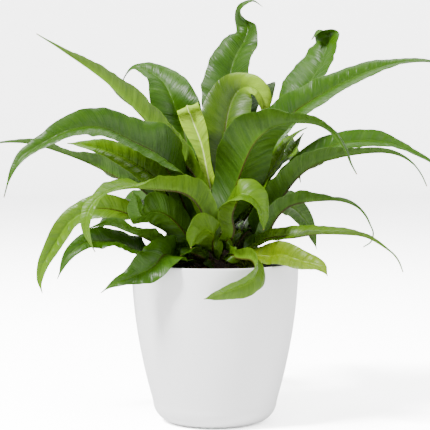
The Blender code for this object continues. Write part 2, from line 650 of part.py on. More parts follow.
def clear_touching(blades, fixed_pieces):
    """Goes over all the blades until none is within a seat gap of another or of the fixed pieces."""
    shown = bpy.context.evaluated_depsgraph_get()
    fixed = [BVHTree.FromObject(piece, shown) for piece in fixed_pieces]
    faces = loft_faces()
    for _ in range(CLEARING_ROUNDS):
        moved = 0
        points = [blade.fat_points() for blade in blades]
        trees = [BVHTree.FromPolygons(spots.tolist(), faces) for spots in points]
        low = [spots.min(0) for spots in points]
        high = [spots.max(0) for spots in points]
        for i, blade in enumerate(blades):
            moved += sum(clear_of_fixed(blade, trees[i], piece) for piece in fixed)
            for j in range(i + 1, len(blades)):
                if (low[i] > high[j]).any() or (low[j] > high[i]).any():
                    continue
                moved += clear_of_each_other(blade, blades[j], (trees[i], trees[j]))
        if not moved:
            break


def frond_object(collection, blade):
    """A loft of thin kite sections: left margin, midrib groove, right margin and keel at each station."""
    rings = np.stack(blade.ring_lines(), axis=1)
    shape = bmesh.new()
    corners = [shape.verts.new(point) for point in rings.reshape(-1, 3)]
    for face in loft_faces():
        shape.faces.new([corners[k] for k in face])
    bmesh.ops.recalc_face_normals(shape, faces=shape.faces)
    mesh = bpy.data.meshes.new(blade.frond.name)
    shape.to_mesh(mesh)
    shape.free()
    return add_object(collection, blade.frond.name, mesh, "frond")


def build():
    collection = start_empty()
    fixed = [cover_pot(collection), nursery_pot(collection), soil(collection), crown(collection)]
    seats = crown_seats()
    blades = [Blade(frond, seats[frond.name]) for frond in FRONDS]
    ease_apart(blades)
    for blade in blades:
        seat_on_crown(blade)
    clear_touching(blades, fixed)
    for blade in blades:
        frond_object(collection, blade)


build()
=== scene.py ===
"""A bird's nest fern in a round white cover pot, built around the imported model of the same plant."""

import math
from itertools import combinations

import bpy
import numpy as np
from bpy.props import FloatProperty, FloatVectorProperty, IntProperty, PointerProperty
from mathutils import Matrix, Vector, noise


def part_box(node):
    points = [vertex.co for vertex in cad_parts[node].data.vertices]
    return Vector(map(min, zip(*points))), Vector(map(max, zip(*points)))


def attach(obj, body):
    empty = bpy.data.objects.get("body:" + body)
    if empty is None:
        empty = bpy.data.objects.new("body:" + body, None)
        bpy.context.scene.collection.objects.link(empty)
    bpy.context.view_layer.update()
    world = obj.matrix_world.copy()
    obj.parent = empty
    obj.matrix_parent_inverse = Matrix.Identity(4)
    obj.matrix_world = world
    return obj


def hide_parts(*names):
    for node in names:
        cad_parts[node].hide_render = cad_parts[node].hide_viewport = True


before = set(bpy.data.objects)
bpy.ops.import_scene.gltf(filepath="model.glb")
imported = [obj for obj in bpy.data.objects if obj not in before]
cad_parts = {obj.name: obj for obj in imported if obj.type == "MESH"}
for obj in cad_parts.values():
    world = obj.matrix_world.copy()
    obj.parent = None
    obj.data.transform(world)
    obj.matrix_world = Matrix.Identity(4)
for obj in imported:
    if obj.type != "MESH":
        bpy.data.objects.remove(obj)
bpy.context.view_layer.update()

bl_info = {
    "name": "Potted Fern",
    "version": (1, 0, 0),
    "blender": (4, 5, 0),
    "location": "View3D > Sidebar > Fern",
    "description": "Builds a potted bird's nest fern with its soil, pots and a plain studio",
    "category": "Add Mesh",
}

BODY = "root"
PREFIX = "frond_"

# The fronds are named here without their prefix, frond_.
# How each is finished: what kind of leaf it is, and a step lighter or darker than the others of its kind.
# The step is partly the leaf's own tone and partly painted light: fronds that lie in shade, such as
# right_inner and right_back_inner, are painted lighter.
FROND_LOOKS = {
    "left_low_wavy": ("mature", 0.0), "front_over_rim": ("fresh", 0.1),
    "right_low_yellow": ("yellowing", 0.0), "rear_rim_left": ("mature", 0.0),
    "rear_rim_right": ("mature", 0.1), "left_low": ("mature", -0.1), "right_low": ("fresh", -0.1),
    "front_left_short": ("mature", -0.3), "left_crinkled_middle": ("mature", 0.1),
    "left_drop": ("fresh", 0.1), "rear_left_low": ("mature", 0.0), "rear_right_low": ("mature", -0.1),
    "right_curl": ("mature", 0.1), "left_crinkled_back": ("mature", -0.2), "front_star": ("fresh", 0.0),
    "left_crinkled_front": ("mature", 0.1), "rear_middle": ("mature", 0.0),
    "rear_left_arch": ("mature", 0.1), "rear_right_arch": ("mature", 0.0),
    "right_far_under": ("mature", 0.0), "left_straight": ("mature", 0.1), "right_far": ("mature", 0.2),
    "left_front_drape": ("fresh", 0.0), "front_fold": ("fresh", 0.0), "right_inner": ("fresh", 0.3),
    "rear_upright": ("mature", 0.1), "left_inner": ("fresh", 0.1), "right_back_inner": ("fresh", 0.3),
    "right_front_arch": ("mature", 0.0), "left_great": ("mature", -0.1), "back_left_curl": ("mature", 0.0),
    "upper_left": ("fresh", 0.1), "upper_right": ("mature", 0.1), "right_long": ("mature", 0.1),
    "tall_back": ("mature", -0.1), "heart_broad": ("turning", -0.35), "heart_new": ("young", 0.0),
    "heart_pale": ("young", 0.1),
}

# Fronds whose blades are drawn without the small kinks of the solid ones.
EASED = {
    "right_inner", "right_back_inner", "left_crinkled_back",
    "left_crinkled_middle", "left_crinkled_front", "heart_broad",
    "heart_new", "left_inner", "front_star",
}

# How much wavier than the others the margin of a frond is.
WAVY = {
    "left_low_wavy": 2.6, "left_crinkled_back": 2.2, "left_crinkled_middle": 2.2,
    "left_crinkled_front": 2.2, "left_low": 1.5, "left_front_drape": 1.5,
    "tall_back": 1.6, "back_left_curl": 1.4, "left_great": 1.3,
    "upper_right": 1.3, "front_star": 1.5,
}

# The young frond whose tip is still rolled up.
ROLLED = "heart_new"

# For each kind of leaf: how much shade is painted on it near the crown, how far up its dark midrib reaches,
# and how much its tip pales.
LEAF_KINDS = {
    "mature": (1.0, 0.38, 0.35), "fresh": (1.0, 0.38, 0.35), "turning": (1.0, 0.5, 0.92),
    "young": (0.25, 1.2, 0.35), "yellowing": (0.35, 0.8, 0.35),
}

# How a leaf's blade is shaped.
EASING = 2              # rounds of smoothing for the fronds in EASED
VEIN_SLANT = 0.55       # how far a side vein climbs the leaf for each step out from the midrib
VEIN_SPACING = 0.0088
VEIN_HEIGHT = 0.0008    # the relief of the veins, and how strongly it shows
LEAF_BUMP = 0.62
STALK_HALF = 0.0032     # the half widths between which a stalk becomes a leaf
LEAF_HALF = 0.0075
TRIM_WAVE = 0.015       # the uneven cut of the margin: its length along the leaf, and its depth as a share
TRIM_DEPTH = 0.038
RIPPLE_WAVE = 0.020     # the ripples of the margin, large and small
SMALL_WAVE = 0.007
SMALL_RIPPLE = 0.22     # how high the small ripples are beside the large ones
RIPPLE_GAIN = 1.35
FULL_RIPPLE = 0.010     # the half width of a leaf whose margin ripples at its usual height
FOLD_WAVE = 0.03        # the length over which the folds between the side veins drift
BOW = 0.408             # how far each half of the blade bulges, as a share of its width
GROOVE = 0.00035        # depth of the groove over the midrib
GROOVE_WIDTH = 0.10
STEM_RIB = 0.0026       # the tallest that the rib under the blade may be
TIP_TAPER = 0.06        # the share of the leaf over which its tip narrows, and the width that is left there
TIP_WIDTH = 0.3
WING_LIMIT = 0.62       # the widest wing on a stalk, as a share of the leaf's half width


# ---------------------------------------------------------------- sizes and colours

def tint(name, description, default):
    return FloatVectorProperty(name=name, description=description, default=default, subtype="COLOR")


def metres(name, description, default):
    return FloatProperty(name=name, description=description, default=default, subtype="DISTANCE")


class PotSettings(bpy.types.PropertyGroup):
    steps: IntProperty(name="Steps", description="Segments round the turned pots", default=192, min=24)
    edge: metres("Edge", "Rounding of the pots' corners", 0.0009)
    colour: tint("Cover pot", "Colour of the cover pot's plastic", (0.87, 0.87, 0.875))
    inner_colour: tint("Nursery pot", "Colour of the nursery pot's plastic", (0.018, 0.018, 0.019))


class SoilSettings(bpy.types.PropertyGroup):
    colour: tint("Soil", "Colour of the moist soil", (0.022, 0.013, 0.009))
    fleck_colour: tint("Bark", "Colour of the bark flecks in the soil", (0.13, 0.055, 0.028))
    crumbs: IntProperty(name="Crumbs", description="Number of loose crumbs on the soil", default=1500, min=0)
    crumb_size: metres("Crumb size", "Size of an average crumb", 0.0021)
    fibres: IntProperty(name="Fibres", description="Number of coconut fibres in the soil",
                        default=160, min=0)


class CrownSettings(bpy.types.PropertyGroup):
    colour: tint("Crown", "Colour of the crown between its fibres", (0.022, 0.014, 0.006))
    fibre_colour: tint("Fibre", "Colour of the crown's lighter fibres", (0.05, 0.03, 0.013))
    scale_colour: tint("Scale", "Colour of the crown's scales", (0.032, 0.019, 0.008))
    dry_colour: tint("Dry flecks", "Colour of the dry flecks on the scales", (0.09, 0.055, 0.024))
    scales: IntProperty(name="Scales", description="Number of dry scales on the crown", default=420, min=0)
    scale_length: metres("Scale length", "Length of a dry scale", 0.006)


class FrondSettings(bpy.types.PropertyGroup):
    fineness: IntProperty(name="Fineness", description="Cross rows for each span of the solid model",
                          default=7, min=2)
    blade: metres("Blade thickness", "Thickness of the blade beside its midrib", 0.00045)
    wing: metres("Wing", "Half width that the blade keeps on its stalk near the crown", 0.0108)
    ruffle: metres("Ruffle", "Height of the small ripples along the margin", 0.0016)
    pleat: metres("Pleat", "Depth of the soft folds between the side veins", 0.0003)
    mature: tint("Mature leaf", "Upper side of a grown leaf", (0.022, 0.066, 0.0002))
    fresh: tint("Fresh leaf", "Upper side of a leaf of this season", (0.052, 0.116, 0.0006))
    young: tint("Young leaf", "A leaf that has just unrolled", (0.19, 0.32, 0.010))
    yellowing: tint("Yellowing leaf", "An old leaf at the pot's rim", (0.090, 0.150, 0.0015))
    roll_start: FloatProperty(name="Roll start", description="Share of the youngest blade below its scroll",
                              default=0.84, min=0.3, max=0.95)
    roll_lift: metres("Roll lift", "How much higher the scroll stands than the solid there", 0.011)
    roll_radius: metres("Roll radius", "Outer radius of the scroll", 0.0037)
    roll_turns: FloatProperty(name="Roll turns", description="Turns of the blade in the scroll", default=1.4)
    young_rib: tint("Young midrib", "Colour of the midrib of a young leaf", (0.62, 0.74, 0.26))
    midrib: tint("Midrib", "The dark midrib near the crown", (0.036, 0.023, 0.003))


class StageSettings(bpy.types.PropertyGroup):
    floor_colour: tint("Floor", "Colour of the floor and backdrop", (0.93, 0.93, 0.93))
    camera_distance: metres("Camera distance", "From the pot's axis to the camera", 1.25)
    camera_height: metres("Camera height", "Height of the camera above the floor", 0.254)
    aim_height: metres("Aim height", "Height that the camera looks at", 0.177)
    lens: FloatProperty(name="Lens", description="Focal length of the camera in millimetres", default=122.5)
    key_power: FloatProperty(name="Key light", description="Power of the soft light at the front left",
                             default=165.0, subtype="POWER")
    fill_power: FloatProperty(name="Fill light", description="Power of the weaker light at the right",
                              default=22.0, subtype="POWER")
    top_power: FloatProperty(name="Top light", description="Power of the light above and behind",
                             default=28.6, subtype="POWER")
    backdrop_gain: FloatProperty(name="Backdrop gain", default=4.6, min=0,
                                 description="How much brighter the camera sees the backdrop than it is")
    sky: FloatProperty(name="Surround", description="Brightness of the light from all round", default=0.85)


# ---------------------------------------------------------------- mesh helpers

def welded(node, grid=1e-6):
    """The node's points with doubles merged, and each point's neighbours along the mesh's edges."""
    mesh = node.data
    raw = np.empty(len(mesh.vertices) * 3)
    mesh.vertices.foreach_get("co", raw)
    raw = raw.reshape(-1, 3)
    keys, index = np.unique(np.round(raw / grid).astype(np.int64), axis=0, return_inverse=True)
    index = index.reshape(-1)
    points = np.zeros((len(keys), 3))
    points[index] = raw
    near = [set() for _ in points]
    for edge in mesh.edges:
        a, b = index[edge.vertices[0]], index[edge.vertices[1]]
        if a != b:
            near[a].add(b)
            near[b].add(a)
    return points, near


def smooth_rows(points, fineness):
    """A Catmull-Rom curve through the points, with the given number of rows for each span."""
    points = np.asarray(points, float)
    ends = np.vstack([2 * points[:1] - points[1:2], points, 2 * points[-1:] - points[-2:-1]])
    t = np.linspace(0, 1, fineness, endpoint=False)[:, None]
    rows = []
    for a, b, c, d in zip(ends, ends[1:], ends[2:], ends[3:]):
        rows.append(0.5 * (2 * b + (c - a) * t + (2 * a - 5 * b + 4 * c - d) * t**2
                           + (3 * b - a - 3 * c + d) * t**3))
    return np.vstack([*rows, points[-1:]])


def unit(vectors):
    length = np.linalg.norm(vectors, axis=-1, keepdims=True)
    return vectors / np.maximum(length, 1e-12)


def smoothstep(low, high, value):
    t = np.clip((value - low) / (high - low), 0, 1)
    return t * t * (3 - 2 * t)


def uneven(spot, octaves):
    """Smooth noise from about -1 to 1 in space."""
    return noise.fractal(spot, 1.0, 2.0, octaves)


def wander(values, seed):
    """Smooth noise from about -1 to 1 along a line, read at the given places."""
    return np.array([uneven(Vector((value, seed * 7.31, seed * 1.7)), 2) for value in values])


def tube_faces(base, rows, inside_out=False):
    """The faces of a closed tube whose rows have four points each, numbered from base."""
    faces = [(base, base + 3, base + 2, base + 1)]
    for row in range(rows - 1):
        for k in range(4):
            a, b = base + 4 * row + k, base + 4 * row + (k + 1) % 4
            faces.append((a, b, b + 4, a + 4))
    last = base + 4 * (rows - 1)
    faces.append((last, last + 1, last + 2, last + 3))
    return [(face[0], *face[:0:-1]) for face in faces] if inside_out else faces


def mesh_object(name, points, faces, smooth_angle=None):
    mesh = bpy.data.meshes.new(name)
    mesh.from_pydata(np.asarray(points).tolist(), [], faces)
    mesh.validate()
    made = bpy.data.objects.new(name, mesh)
    bpy.context.scene.collection.objects.link(made)
    mesh.shade_smooth()
    if smooth_angle:
        mesh.set_sharp_from_angle(angle=math.radians(smooth_angle))
    return made


def add_values(piece, name, values):
    """Stores a vector for each point of the mesh, for the material to read."""
    layer = piece.data.attributes.new(name, "FLOAT_VECTOR", "POINT")
    layer.data.foreach_set("vector", np.asarray(values, np.float32).ravel())


def hand_over(piece, material, node):
    """Gives the piece its finish, says what it moves with, and hides the node that it stands for."""
    piece.data.materials.append(material)
    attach(piece, BODY)
    if node:
        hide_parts(node)


# ---------------------------------------------------------------- shader helpers

class Tree:
    """A short way to write a node tree: each call adds a node and links what it is given."""

    def __init__(self, tree):
        self.tree = tree

    def put(self, value, socket):
        """Links the value to the socket, or sets it there when it is a plain number or colour."""
        if isinstance(value, bpy.types.NodeSocket):
            self.tree.links.new(value, socket)
        else:
            socket.default_value = value

    def add(self, kind, given=None, **settings):
        node = self.tree.nodes.new("ShaderNode" + kind)
        for key, value in settings.items():
            setattr(node, key, value)
        for key, value in (given or {}).items():
            self.put(value, node.inputs[key])
        return node

    def math(self, operation, *values):
        return self.add("Math", dict(enumerate(values)), operation=operation).outputs[0]

    def times(self, one, other):
        return self.math("MULTIPLY", one, other)

    def plus(self, one, other):
        return self.math("ADD", one, other)

    def minus(self, one, other):
        return self.math("SUBTRACT", one, other)

    def mix(self, share, one, other, blend="MIX"):
        node = self.add("Mix", data_type="RGBA", blend_type=blend, clamp_factor=True)
        for key, value in ((0, share), (6, one), (7, other)):
            self.put(value, node.inputs[key])
        return node.outputs[2]

    def ramp(self, value, low, high, start=0.0, end=1.0):
        """A smooth step of the value between low and high."""
        node = self.add("MapRange", {0: value, 1: low, 2: high, 3: start, 4: end},
                        interpolation_type="SMOOTHSTEP")
        return node.outputs[0]

    def layered(self, colour, *layers):
        """Each layer (pattern, low, high, most, other) lays the other colour on as the pattern nears high."""
        for pattern, low, high, most, other in layers:
            colour = self.mix(self.ramp(pattern, low, high, 0.0, most), colour, other)
        return colour

    def noise(self, scale, detail=2.0, vector=None, rough=0.5):
        given = {"Scale": scale, "Detail": detail, "Roughness": rough}
        if vector is not None:
            given["Vector"] = vector
        return self.add("TexNoise", given).outputs["Fac"]

    def stored(self, name):
        """The three numbers that add_values stored under the name."""
        vector = self.add("Attribute", attribute_name=name).outputs["Vector"]
        return self.add("SeparateXYZ", {0: vector}).outputs


def rgba(colour):
    return (*colour, 1.0)


def group(name, colours, values):
    """A shader node group with the named inputs, and a surface's colour, roughness and height as outputs."""
    made = bpy.data.node_groups.new(name, "ShaderNodeTree")
    for labels, kind in ((colours, "Color"), (values, "Float")):
        for label in labels:
            made.interface.new_socket(label, in_out="INPUT", socket_type="NodeSocket" + kind)
    for label, kind in (("Colour", "Color"), ("Roughness", "Float"), ("Height", "Float")):
        made.interface.new_socket(label, in_out="OUTPUT", socket_type="NodeSocket" + kind)
    start = made.nodes.new("NodeGroupInput").outputs
    end = made.nodes.new("NodeGroupOutput").inputs
    return made, Tree(made), start, end


def surface(tree, end, *values):
    """Feeds the colour, roughness and height that a surface's group gives."""
    for label, value in zip(("Colour", "Roughness", "Height"), values):
        tree.tree.links.new(value, end[label])


def shader(name, roughness, constants=None):
    """A material with one Principled BSDF; returns it with its tree and the shader's inputs."""
    made = bpy.data.materials.new(name)
    made.use_nodes = True
    inputs = made.node_tree.nodes["Principled BSDF"].inputs
    inputs["Roughness"].default_value = roughness
    for key, value in (constants or {}).items():
        inputs[key].default_value = value
    return made, Tree(made.node_tree), inputs


def dressed(name, rough, build, strength, distance, constants, **values):
    """A material that gets its colour, roughness and bump from the group that build() makes once."""
    made, tree, inputs = shader(name, rough, constants)
    node = tree.tree.nodes.new("ShaderNodeGroup")
    node.node_tree = bpy.data.node_groups.get(build.__name__) or build()
    for key, value in values.items():
        node.inputs[key].default_value = value
    out = node.outputs
    bumped = tree.add("Bump", {"Height": out["Height"], "Strength": strength, "Distance": distance})
    tree.tree.links.new(out["Colour"], inputs["Base Color"])
    tree.tree.links.new(out["Roughness"], inputs["Roughness"])
    tree.tree.links.new(bumped.outputs[0], inputs["Normal"])
    return made


# ---------------------------------------------------------------- turned pieces

ON_AXIS = 1e-6          # a point this close to the axis counts as on it
FLAT = 2e-5             # how far from the cut through the axis a point of the outline may lie
SKIN_HEIGHT = 0.0002    # the relief of moulded plastic


def meridian(node):
    """The turned node's outline as (radius, height), from its innermost point; flat discs aren't in it."""
    points, near = welded(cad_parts[node])
    flat = [i for i, (x, y, z) in enumerate(points) if abs(y) < FLAT and x > -ON_AXIS]
    start = min(flat, key=lambda i: (points[i][0], points[i][2]))
    row, seen = [start], {start}
    while True:
        ahead = [i for i in near[row[-1]] if i in flat and i not in seen]
        if not ahead:
            break
        following = ahead[0]
        if len(row) == 1:
            following = max(ahead, key=lambda i: points[i][0])
        row.append(following)
        seen.add(following)
    return [(points[i][0], points[i][2]) for i in row]


def softened(profile, cut, rounds):
    """The outline with its corners cut back by at most the given distance, which halves with every round."""
    row = [np.array(p) for p in profile]
    for _ in range(rounds):
        done = [row[0]]
        for a, b in zip(row, row[1:]):
            span = b - a
            length = np.linalg.norm(span)
            share = min(0.25, cut / max(length, 1e-9))
            if a is not row[0]:
                done.append(a + span * share)
            if b is not row[-1]:
                done.append(b - span * share)
        done.append(row[-1])
        row = done
        cut /= 2
    return [tuple(p) for p in row]


def turn(name, profile, steps, shift=None):
    """An outline turned about the Z axis; shift(point) may move each point of the surface."""
    points, rows = [], []
    for radius, height in profile:
        if radius < ON_AXIS:
            rows.append([len(points)])
            points.append((0, 0, height))
            continue
        rows.append(list(range(len(points), len(points) + steps)))
        for k in range(steps):
            angle = 2 * math.pi * k / steps
            points.append((radius * math.cos(angle), radius * math.sin(angle), height))
    faces = []
    for one, other in zip(rows, rows[1:]):
        for k in range(steps):
            after = (k + 1) % steps
            if len(one) == 1:
                faces.append((one[0], other[after], other[k]))
            elif len(other) == 1:
                faces.append((one[k], one[after], other[0]))
            else:
                faces.append((one[k], one[after], other[after], other[k]))
    if shift:
        points = [shift(Vector(p)) for p in points]
    return mesh_object(name, points, faces, smooth_angle=50)


def closer(profile, longest):
    """The outline with points added so that no span is longer than the given length."""
    row = [profile[0]]
    for a, b in zip(profile, profile[1:]):
        count = max(1, math.ceil(math.dist(a, b) / longest))
        row += [(a[0] + (b[0] - a[0]) * k / count, a[1] + (b[1] - a[1]) * k / count)
                for k in range(1, count + 1)]
    return row


def moulded_plastic():
    """Moulded plastic: cloudy gloss, faint flow lines up the side, a fine skin and dust in places."""
    made, tree, start, end = group("moulded_plastic", ["Colour"], ["Rough", "Dust"])
    place = tree.add("TexCoord").outputs["Object"]
    stretched = tree.add("Mapping", {"Vector": place, "Scale": (1.0, 1.0, 0.12)}).outputs[0]
    flow = tree.noise(95.0, 3.0, stretched)
    cloud = tree.noise(16.0, 3.0, place)
    skin = tree.noise(2600.0, 1.0, place)
    dust = tree.times(tree.ramp(tree.noise(60.0, 4.0, place), 0.55, 0.75), start["Dust"])
    tinted = tree.mix(tree.times(cloud, 0.05), start["Colour"], (0.70, 0.69, 0.66, 1))
    dusty = tree.mix(dust, tinted, (0.55, 0.52, 0.47, 1))
    rough = tree.plus(start["Rough"], tree.times(tree.minus(cloud, 0.5), 0.16))
    rough = tree.plus(rough, tree.times(dust, 0.3))
    height = tree.plus(tree.times(flow, 0.6), tree.times(skin, 0.25))
    surface(tree, end, dusty, rough, height)
    return made


def plastic(name, colour, rough, dust, strength):
    return dressed(name, rough, moulded_plastic, strength, SKIN_HEIGHT, {"IOR": 1.49},
                   Colour=rgba(colour), Rough=rough, Dust=dust)


class FERN_OT_cover_pot(bpy.types.Operator):
    """Turns the white cover pot with a rounded rim, a foot ring and a recessed base"""
    bl_idname = "fern.cover_pot"
    bl_label = "Cover pot"

    def execute(self, context):
        settings = context.scene.fern_pot
        outline = meridian("cover_pot")
        stand = outline[1][0]  # inner radius of the ring that the nursery pot stands on
        sunk, ring = 0.0006, 0.0012
        recess = [
            (0.0, sunk), (0.0042, sunk), (0.0048, ring), (0.0062, ring), (0.0068, sunk),
            (stand * 0.60, sunk), (stand * 0.62, 0.0), (stand * 0.66, 0.0),
            (stand * 0.68, sunk), (stand * 0.86, sunk), (stand * 0.90, 0.0),
        ]
        body = softened(outline[1:], settings.edge, rounds=3)
        piece = turn("cover_pot_shell", [*recess, *closer(body, longest=0.004)], settings.steps)
        white = plastic("white_plastic", settings.colour, rough=0.30, dust=0.0, strength=0.10)
        hand_over(piece, white, "cover_pot")
        return {"FINISHED"}


class FERN_OT_nursery_pot(bpy.types.Operator):
    """Turns the thin black nursery pot that holds the root ball, with its rolled lip"""
    bl_idname = "fern.nursery_pot"
    bl_label = "Nursery pot"

    def execute(self, context):
        settings = context.scene.fern_pot
        body = softened(meridian("nursery_pot"), settings.edge / 2, rounds=2)
        piece = turn("nursery_pot_shell", closer(body, longest=0.006), settings.steps)
        black = plastic("black_plastic", settings.inner_colour, rough=0.5, dust=0.35, strength=0.35)
        hand_over(piece, black, "nursery_pot")
        return {"FINISHED"}


# ---------------------------------------------------------------- soil and crown

CRUMB_HEIGHT = 0.0006    # the relief of soil and fibre
LUMP_RISE = 0.0011       # how high the soil's surface rises in lumps, and in the finer crumbs on them
CRUMB_RISE = 0.0006
WALL_CLEARANCE = 0.0015  # how far the loose crumbs stay from the pot's wall
ABOVE_BASE = 0.02        # the outline is the soil's surface from this far above its base
FIBRE_SPANS = 5
FIBRE_REST = 0.0008      # how high a loose fibre's ends lie, and how much higher its middle
FIBRE_ARCH = 0.0012
FIBRE_RIDGE = 0.0006     # how high the fibres stand out from the crown
GOLDEN_ANGLE = 2.39996   # from one scale of the crown to the next


def crumbly_earth():
    """Crumbly organic matter: dark ground, bark flecks, damp and dry patches."""
    made, tree, start, end = group("crumbly_earth", ["Colour", "Fleck"], ["Flecks"])
    place = tree.add("TexCoord").outputs["Object"]
    cells = tree.add("TexVoronoi", {"Vector": place, "Scale": 520.0, "Randomness": 1.0})
    pick = tree.add("SeparateColor", {"Color": cells.outputs["Color"]}).outputs[0]
    fleck = tree.times(tree.math("GREATER_THAN", pick, 0.72), start["Flecks"])
    fine = tree.noise(900.0, 4.0, place, 0.65)
    patch = tree.noise(55.0, 3.0, place)
    ground = tree.mix(tree.ramp(fine, 0.35, 0.75), start["Colour"], (0.05, 0.032, 0.022, 1))
    ground = tree.mix(fleck, ground, start["Fleck"])
    dry = tree.times(tree.ramp(patch, 0.5, 0.72), 0.45)
    ground = tree.mix(dry, ground, (0.07, 0.048, 0.034, 1))
    rough = tree.ramp(patch, 0.35, 0.65, 0.72, 0.97)
    height = tree.plus(fine, tree.times(cells.outputs["Distance"], 0.7))
    surface(tree, end, ground, rough, height)
    return made


def earth(name, colour, fleck, flecks, strength):
    return dressed(name, 0.9, crumbly_earth, strength, CRUMB_HEIGHT, {},
                   Colour=rgba(colour), Fleck=rgba(fleck), Flecks=flecks)


def rough_ground(point):
    """The soil's surface: lumps of a few millimetres with finer crumbs on them."""
    up = LUMP_RISE * uneven(point * 90, 3) + CRUMB_RISE * uneven(point * 420, 2)
    return point + Vector((0, 0, up))


# A crumb: a cube whose six sides are each raised to a point in the middle.
CUBE = np.array([
    (-1, -1, -1), (1, -1, -1), (1, 1, -1), (-1, 1, -1), (-1, -1, 1), (1, -1, 1), (1, 1, 1), (-1, 1, 1),
    (0, 0, -1.4), (0, 0, 1.4), (1.4, 0, 0), (-1.4, 0, 0), (0, 1.4, 0), (0, -1.4, 0),
], float)
SIDES = (
    (8, 0, 3, 2, 1), (9, 4, 5, 6, 7), (10, 1, 2, 6, 5),
    (11, 0, 4, 7, 3), (12, 2, 3, 7, 6), (13, 0, 1, 5, 4),
)
CUBE_FACES = [(peak, ring[k], ring[(k + 1) % 4]) for peak, *ring in SIDES for k in range(4)]


def random_turn(chance):
    """A random rotation, as a matrix."""
    w, x, y, z = unit(chance.normal(size=4))
    return np.array([
        [1 - 2 * (y * y + z * z), 2 * (x * y - z * w), 2 * (x * z + y * w)],
        [2 * (x * y + z * w), 1 - 2 * (x * x + z * z), 2 * (y * z - x * w)],
        [2 * (x * z - y * w), 2 * (y * z + x * w), 1 - 2 * (x * x + y * y)],
    ])


class FERN_OT_soil(bpy.types.Operator):
    """Builds the root ball with its lumpy surface, and the loose crumbs and fibres that lie on it"""
    bl_idname = "fern.soil"
    bl_label = "Soil"

    def execute(self, context):
        settings = context.scene.fern_soil
        outline = meridian("soil")
        piece = turn("soil_ground", closer(outline, longest=0.0022), steps=160, shift=rough_ground)
        colours = (settings.colour, settings.fleck_colour)
        hand_over(piece, earth("moist_soil", *colours, flecks=0.8, strength=0.9), "soil")

        edge = max(r for r, z in outline) - WALL_CLEARANCE
        lowest = outline[-1][1] + ABOVE_BASE
        ground = tuple(zip(*sorted((r, z) for r, z in outline if z > lowest and r > 0)))
        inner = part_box("crown")[1][0] * 0.98
        loose = self.litter(settings, (inner, edge), ground)
        hand_over(loose, earth("soil_crumbs", *colours, flecks=1.0, strength=0.5), None)
        return {"FINISHED"}

    def litter(self, settings, reach, ground):
        """The loose crumbs and fibres between the crown and the pot's wall, as one mesh."""
        chance = np.random.default_rng(5)
        points, faces = [], []
        for _ in range(settings.crumbs):
            crumb = self.crumb(chance, settings.crumb_size, reach, ground)
            faces += [tuple(k + len(points) for k in face) for face in CUBE_FACES]
            points += list(crumb)
        for _ in range(settings.fibres):
            fibre = self.fibre(chance, reach, ground)
            faces += tube_faces(len(points), len(fibre) // 4)
            points += fibre
        return mesh_object("soil_crumbs", points, faces, smooth_angle=35)

    @staticmethod
    def crumb(chance, usual, reach, ground):
        radius = math.sqrt(chance.uniform(reach[0]**2, reach[1]**2))
        angle = chance.uniform(0, 2 * math.pi)
        size = usual * chance.lognormal(-0.25, 0.45) / 2
        height = np.interp(radius, *ground) + 0.25 * size
        shape = CUBE * chance.uniform(0.75, 1.25, CUBE.shape) * np.array([1, chance.uniform(0.5, 1), 0.7])
        shape = shape @ random_turn(chance).T * size * 0.75
        return shape + np.array([radius * math.cos(angle), radius * math.sin(angle), height])

    @staticmethod
    def fibre(chance, reach, ground):
        """A short bent fibre of four-sided rows that lies on the ground and rises a little in the middle."""
        radius = math.sqrt(chance.uniform(reach[0]**2, (reach[1] - 0.004)**2))
        angle, heading = chance.uniform(0, 2 * math.pi, 2)
        spot = np.array([radius * math.cos(angle), radius * math.sin(angle), 0])
        length, bend = chance.uniform(0.003, 0.010), chance.uniform(-1.6, 1.6)
        thick = chance.uniform(0.00012, 0.0003)
        up = np.array([0, 0, thick])
        points = []
        for k in range(FIBRE_SPANS + 1):
            course = heading + bend * k / FIBRE_SPANS
            spot = spot + np.array([math.cos(course), math.sin(course), 0]) * length / FIBRE_SPANS
            far = min(np.linalg.norm(spot[:2]), reach[1])
            lift = FIBRE_REST + FIBRE_ARCH * math.sin(math.pi * k / FIBRE_SPANS)
            flat = spot[:2] / np.linalg.norm(spot[:2]) * far
            middle = np.array([*flat, np.interp(far, *ground) + lift])
            side = np.array([-math.sin(course), math.cos(course), 0]) * thick
            points += [middle - side, middle - up, middle + side, middle + up]
        return points


